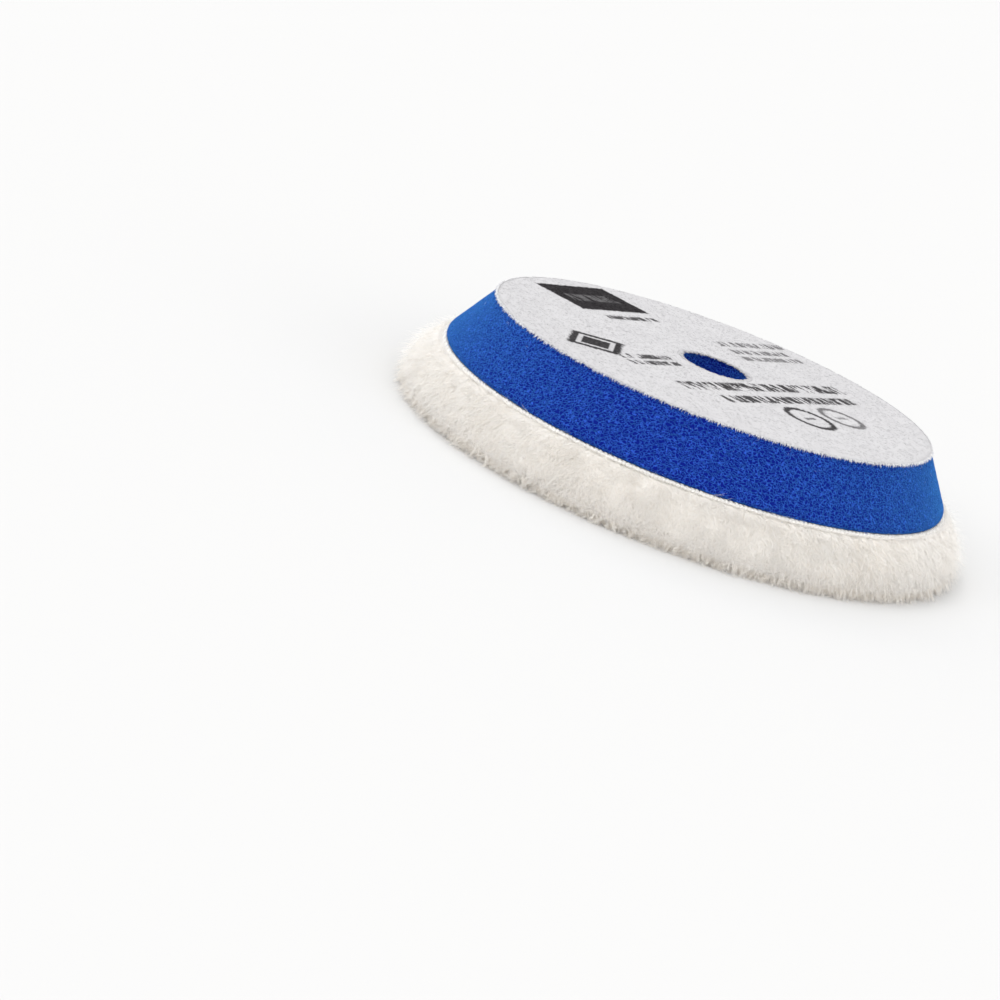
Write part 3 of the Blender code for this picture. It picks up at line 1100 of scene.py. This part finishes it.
# Each light: its name, where it shines from, its spread in degrees, its strength, its colour.
LIGHTS = (
    ("key", (-0.9, -1.1, 1.3), 50, 1.4, (0.97, 0.985, 1.0)),
    ("back", (-0.5, 1.2, 1.45), 35, 0.9, WHITE),
    ("front", (0.1, -1.2, 0.28), 50, 0.45, WHITE),
    ("fill", (1.1, -0.7, 0.8), 60, 0.65, WHITE),
)


def aim(obj, target, roll=0.0):
    """Turns a camera or a light towards a point, and then about its own line of sight."""
    direction = Vector(target) - Vector(obj.location)
    obj.rotation_mode = "QUATERNION"
    level = direction.to_track_quat("-Z", "Y")
    obj.rotation_quaternion = Quaternion(direction.normalized(), roll) @ level


def make_camera():
    data = bpy.data.cameras.new("camera")
    data.lens = CAMERA_LENS
    data.sensor_width = 36.0
    data.clip_start = 0.01
    camera = bpy.data.objects.new("camera", data)
    bpy.context.scene.collection.objects.link(camera)
    camera.location = CAMERA_AT
    aim(camera, CAMERA_TOWARDS, CAMERA_ROLL)
    bpy.context.scene.camera = camera


def make_light(name, location, spread, strength, color):
    """A far, wide and soft light that shines from the given side, alike all over the floor."""
    data = bpy.data.lights.new(name, "SUN")
    data.angle = math.radians(spread)
    data.energy = strength
    data.color = color
    light = bpy.data.objects.new(name, data)
    bpy.context.scene.collection.objects.link(light)
    light.location = location
    aim(light, (0, 0, 0))


def make_world():
    """A white studio: one even light all round, seen as almost white behind the floor."""
    world = bpy.data.worlds.new("studio")
    world.use_nodes = True
    bpy.context.scene.world = world
    tree = world.node_tree
    light = tree.nodes["Background"]
    light.inputs[0].default_value = (*SKY_TINT, 1.0)
    light.inputs[1].default_value = SKY
    seen = tree.nodes.new("ShaderNodeBackground")
    seen.inputs[0].default_value = (SEEN_SKY, SEEN_SKY, SEEN_SKY, 1.0)
    mixed = tree.nodes.new("ShaderNodeMixShader")
    path = tree.nodes.new("ShaderNodeLightPath")
    tree.links.new(path.outputs["Is Camera Ray"], mixed.inputs[0])
    tree.links.new(light.outputs[0], mixed.inputs[1])
    tree.links.new(seen.outputs[0], mixed.inputs[2])
    tree.links.new(mixed.outputs[0], tree.nodes["World Output"].inputs[0])


def make_floor():
    """A plain pale floor that runs out of sight on every side."""
    mesh = bpy.data.meshes.new("floor")
    ring = ways(np.arange(FLOOR_SIDES) * 2 * math.pi / FLOOR_SIDES)[0] * FLOOR_RADIUS
    mesh.from_pydata(ring.tolist(), [], [list(range(len(ring)))])
    floor = bpy.data.objects.new("floor", mesh)
    bpy.context.scene.collection.objects.link(floor)
    g = Graph("floor_white", Roughness=1.0, Specular_IOR_Level=0.0, Base_Color=FLOOR_WHITE)
    mesh.materials.append(g.material)


def main():
    bpy.context.scene.view_settings.view_transform = "Standard"
    bpy.context.scene.cycles.diffuse_bounces = LIGHT_BOUNCES
    bpy.context.scene.cycles.max_bounces = LIGHT_BOUNCES
    make_world()
    make_floor()
    make_camera()
    for light in LIGHTS:
        make_light(*light)

    film = film_material()
    for node in ("wool_adhesive_film", "loop_adhesive_film"):
        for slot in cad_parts[node].material_slots:
            slot.material = film

    make_foam(foam_material())
    make_lint(lint_material())
    nap = nap_material("loop_nap_white", bumpy=True)
    knit = knit_material("loop_ground_knit", LOOP_KNIT_WHITE, LOOP_KNIT_SHADE, LOOP_KNIT_PITCH)
    cloth, body = make_loop_fabric(nap, knit)
    loops = make_nap(nap_material("loop_fibre", bumpy=False), fringe_material())
    knit = knit_material("wool_ground_knit", WOOL_KNIT_WHITE, WOOL_KNIT_SHADE, WOOL_KNIT_PITCH)
    ground, edge = make_wool_ground(knit, yarn_material())
    make_fleece_core(fleece_core_material())
    make_fleece(fleece_material())


main()
